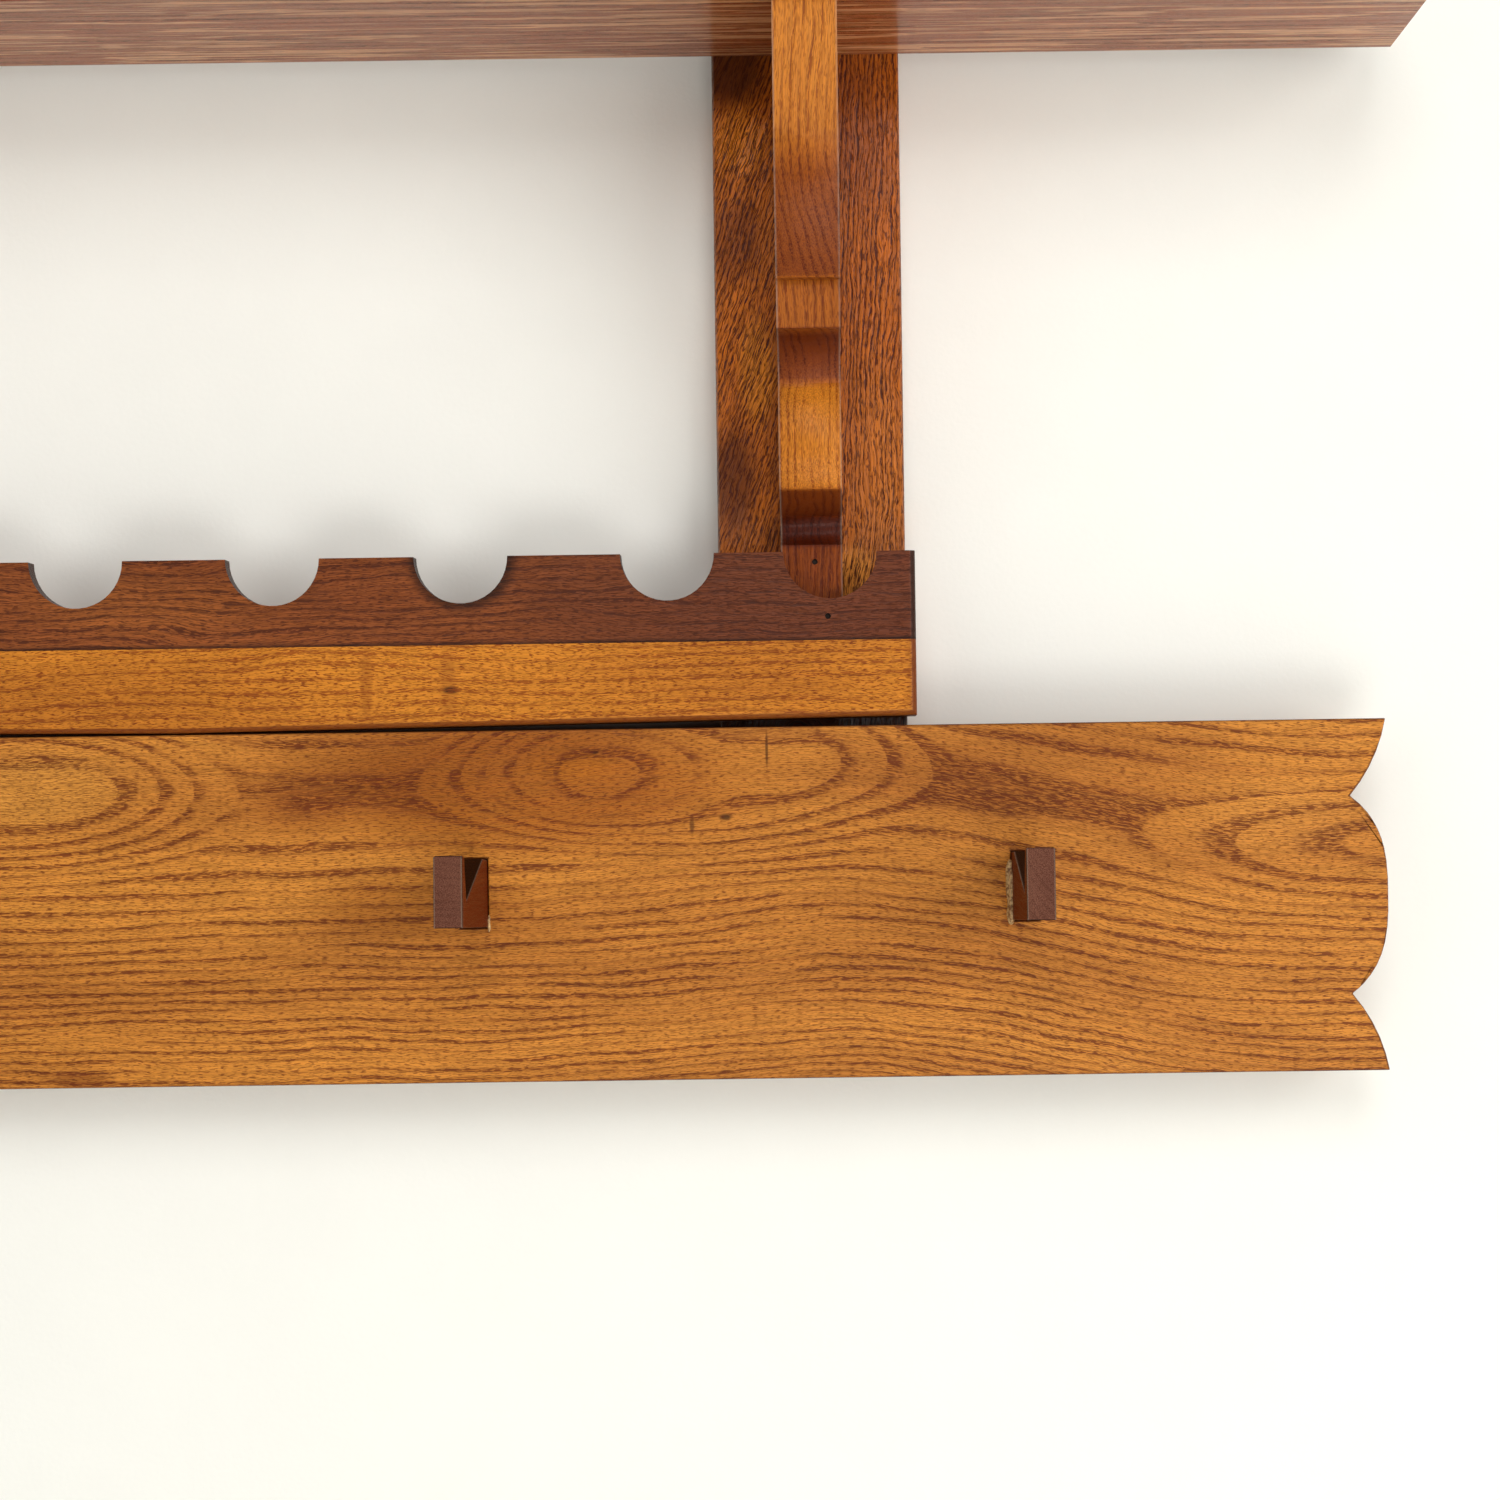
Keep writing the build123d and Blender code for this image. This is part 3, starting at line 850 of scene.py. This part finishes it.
def glue_bead(name, path, radius, seed):
    """A lumpy bead of glue along a path on the peg board's front, half sunk in the corner it fills."""
    random = Random(seed)
    form = bmesh.new()
    rings = []
    for number, point in enumerate(path):
        before = Vector(path[max(number - 1, 0)])
        after = Vector(path[min(number + 1, len(path) - 1)])
        forward = (after - before).normalized()
        outward = Vector((0, -1, 0))
        aside = forward.cross(outward)
        end = number in (0, len(path) - 1)
        size = radius * (GLUE_END_SIZE if end else random.uniform(0.6, 1.2))
        ring = []
        for corner in range(GLUE_SIDES):
            angle = 2 * pi * corner / GLUE_SIDES
            offset = (aside * cos(angle) + outward * sin(angle)) * size
            ring.append(form.verts.new((Vector(point) + offset) * MM))
        rings.append(ring)
    for ring, following in zip(rings, rings[1:]):
        for corner in range(GLUE_SIDES):
            after = (corner + 1) % GLUE_SIDES
            form.faces.new((ring[corner], ring[after], following[after], following[corner]))
    form.faces.new(reversed(rings[0]))
    form.faces.new(rings[-1])
    bmesh.ops.recalc_face_normals(form, faces=form.faces)
    mesh = bpy.data.meshes.new(name)
    form.to_mesh(mesh)
    form.free()
    for face in mesh.polygons:
        face.use_smooth = True
    mesh.materials.append(glue)
    bead = bpy.data.objects.new(name, mesh)
    bpy.context.scene.collection.objects.link(bead)
    bead.modifiers.new("rounded", "SUBSURF").render_levels = 2
    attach(bead, "root")


def glue_at(peg, side, heights, radius, seed, lift=0.1):
    """A bead up one side of a peg, where it enters the board. Side is 1 for the right and -1 for the left.
    Heights are where it starts and ends above the peg's lowest point, as shares of the peg's own height.
    Lift is how far its middle stands off the board."""
    low, high = box_of(peg)
    edge = high.x if side > 0 else low.x
    random = Random(seed + GLUE_PATH_SEED)
    path = []
    for number in range(GLUE_STEPS):
        share = heights[0] + (heights[1] - heights[0]) * number / (GLUE_STEPS - 1)
        sideways = edge + side * random.uniform(0.1, 0.5)
        path.append((sideways, board_low.y - lift, low.z + share * PEG_HEIGHT))
    glue_bead(f"{peg}_glue_{seed}", path, radius, seed)


glue_at("peg_3", side=1, heights=(-0.04, 0.22), radius=0.75, seed=51)
glue_at("peg_4", side=-1, heights=(-0.05, 0.95), radius=2.0, seed=52)
glue_at("peg_4", side=-1, heights=(0.0, 0.8), radius=1.3, seed=56, lift=3.5)
glue_at("peg_4", side=1, heights=(0.9, 1.05), radius=0.5, seed=53)
glue_at("peg_2", side=1, heights=(0.0, 0.6), radius=0.7, seed=54)
glue_at("peg_1", side=-1, heights=(0.1, 0.8), radius=0.8, seed=55)

# Wall and floor --------------------------------------------------------------------------------------------

WALL_SIZE = 6.0
WALL_GAP = 0.5 * MM
FLOOR_LEVEL = -1.3

# How far above and below the peg board's top edge the painted shade on the wall goes, in millimetres.
GAP_SHADE_REACH = 9.0

# How far from the rack's back light and reflections may pass the wall.
LIGHT_REACH = 45 * MM
REFLECTION_REACH = 3 * MM


def plane(name, corners):
    mesh = bpy.data.meshes.new(name)
    mesh.from_pydata(corners, [], [(0, 1, 2, 3)])
    made = bpy.data.objects.new(name, mesh)
    bpy.context.scene.collection.objects.link(made)
    return made


def wall_paint():
    """White paint on a plaster wall, with painted shade that shows in the gap between the peg board and the
    rail.

    The paint is clear from behind, so that the rack's back can be seen. Light passes it near the rack's back
    on the first bounce, and reflections pass it where the back nearly touches it. Otherwise the back would
    be black.
    """
    graph = Graph("wall_paint")
    point = graph.place()
    x, _, z = point
    mottle = graph.scaled_noise(point, (0.02, 0.0, 0.02), detail=3.0)
    colour = graph.shade(srgb(247, 246, 238), graph.vary(mottle, 0.985, 1.0))
    rack_edge = box_of("right_upright")[1].x
    behind_rack = graph.fall(graph.math("ABSOLUTE", x), rack_edge, rack_edge + 1)
    # Painted shade on the wall behind the gap between the rail and the peg board.
    gap_shade_mask = graph.times(graph.near(z, board_top, GAP_SHADE_REACH), behind_rack)
    roller = graph.scaled_noise(point, (0.5, 0.0, 0.5), detail=3.0)
    painted = graph.add(
        "BsdfPrincipled",
        {
            "Base Color": graph.mix(gap_shade_mask, colour, GRIME_AND_SHADE),
            "Roughness": 0.75,
            "Normal": graph.bump(roller, 0.1 * MM),
        },
    )

    ray = graph.add("LightPath", {}).node.outputs
    light = graph.greater(ray["Is Shadow Ray"], ray["Is Diffuse Ray"])
    first_bounce = graph.math("LESS_THAN", ray["Ray Depth"], 1.5)
    near_back = graph.math("LESS_THAN", ray["Ray Length"], LIGHT_REACH)
    light = graph.times(light, graph.times(first_bounce, near_back))
    touching = graph.math("LESS_THAN", ray["Ray Length"], REFLECTION_REACH)
    passing = graph.greater(light, graph.times(ray["Is Glossy Ray"], touching))
    behind = graph.add("NewGeometry", {}, "Backfacing")
    clear = graph.add("BsdfTransparent", {})
    one_sided = graph.add("MixShader", {0: graph.greater(behind, passing), 1: painted, 2: clear})
    graph.add("OutputMaterial", {"Surface": one_sided})
    return graph.material


def floor_finish():
    """A pale floor with faint specks."""
    graph = Graph("floor_finish")
    speck = graph.scaled_noise(graph.place(), (0.05, 0.05, 0.0), detail=3.0)
    colour = graph.shade(srgb(232, 230, 224), graph.vary(speck, 0.97, 1.0))
    return graph.finish({"Base Color": colour, "Roughness": 0.6})


half = WALL_SIZE / 2
sides = ((-half, FLOOR_LEVEL), (half, FLOOR_LEVEL), (half, half), (-half, half))
wall = plane("wall", [(x, WALL_GAP, z) for x, z in sides])
wall.data.materials.append(wall_paint())
sides = ((-half, -half), (half, -half), (half, half), (-half, half))
floor = plane("floor", [(x, y, FLOOR_LEVEL) for x, y in sides])
floor.data.materials.append(floor_finish())

# Lights ----------------------------------------------------------------------------------------------------


def area_light(name, location, target, size, power):
    light = bpy.data.lights.new(name, "AREA")
    light.shape = "SQUARE"
    light.size = size
    light.energy = power
    made = bpy.data.objects.new(name, light)
    bpy.context.scene.collection.objects.link(made)
    made.location = location
    made.rotation_euler = (Vector(target) - Vector(location)).to_track_quat("-Z", "Y").to_euler()


area_light("right", location=(1.8, -1.8, -0.1), target=(0.1, 0, -0.3), size=1.5, power=27)
area_light("left", location=(-1.6, -2.0, 0.1), target=(0.1, 0, -0.3), size=1.9, power=7)
area_light("above", location=(0.3, -2.3, 1.0), target=(0.1, 0, -0.2), size=1.2, power=17.5)
area_light("below", location=(0.5, -1.6, -1.25), target=(0.1, 0, -0.3), size=1.0, power=14)

ROOM_COLOUR = (1.0, 0.99, 0.96, 1.0)
ROOM_STRENGTH = 0.34
DIM_STRENGTH = 0.06

# The y of a direction, which is -1 straight out from the wall, where the room is dim and where it is bright.
DIM_Y, BRIGHT_Y = -0.97, -0.6


def room():
    """A plain bright room, dim straight in front of the rack, so that the varnish keeps its deep colour."""
    world = bpy.data.worlds.new("room")
    world.use_nodes = True
    nodes, links = world.node_tree.nodes, world.node_tree.links
    direction = nodes.new("ShaderNodeTexCoord")
    parts = nodes.new("ShaderNodeSeparateXYZ")
    strength = nodes.new("ShaderNodeMapRange")
    strength.interpolation_type = "SMOOTHSTEP"
    strength.inputs["From Min"].default_value = DIM_Y
    strength.inputs["From Max"].default_value = BRIGHT_Y
    strength.inputs["To Min"].default_value = DIM_STRENGTH
    strength.inputs["To Max"].default_value = ROOM_STRENGTH
    background = nodes["Background"]
    background.inputs["Color"].default_value = ROOM_COLOUR
    links.new(direction.outputs["Generated"], parts.inputs[0])
    links.new(parts.outputs["Y"], strength.inputs["Value"])
    links.new(strength.outputs[0], background.inputs["Strength"])
    return world


bpy.context.scene.world = room()
bpy.context.scene.view_settings.view_transform = "Standard"

# Camera ----------------------------------------------------------------------------------------------------

CAMERA_DISTANCE = 1.0
CAMERA_LEVEL = -0.2994
CAMERA_LENS = 66
CAMERA_SHIFT_X = -0.0433
CAMERA_SHIFT_Y = 0.0287
CAMERA_ROLL = -0.8

camera_data = bpy.data.cameras.new("camera")
camera_data.lens = CAMERA_LENS
camera_data.shift_x = CAMERA_SHIFT_X
camera_data.shift_y = CAMERA_SHIFT_Y
camera = bpy.data.objects.new("camera", camera_data)
bpy.context.scene.collection.objects.link(camera)
upright_low, upright_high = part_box("right_upright")
upright_centre = (upright_low.x + upright_high.x) / 2
camera.matrix_world = (
    Matrix.Translation((upright_centre, upright_low.y - CAMERA_DISTANCE, CAMERA_LEVEL))
    @ Matrix.Rotation(radians(90), 4, "X")
    @ Matrix.Rotation(radians(CAMERA_ROLL), 4, "Z")
)
bpy.context.scene.camera = camera
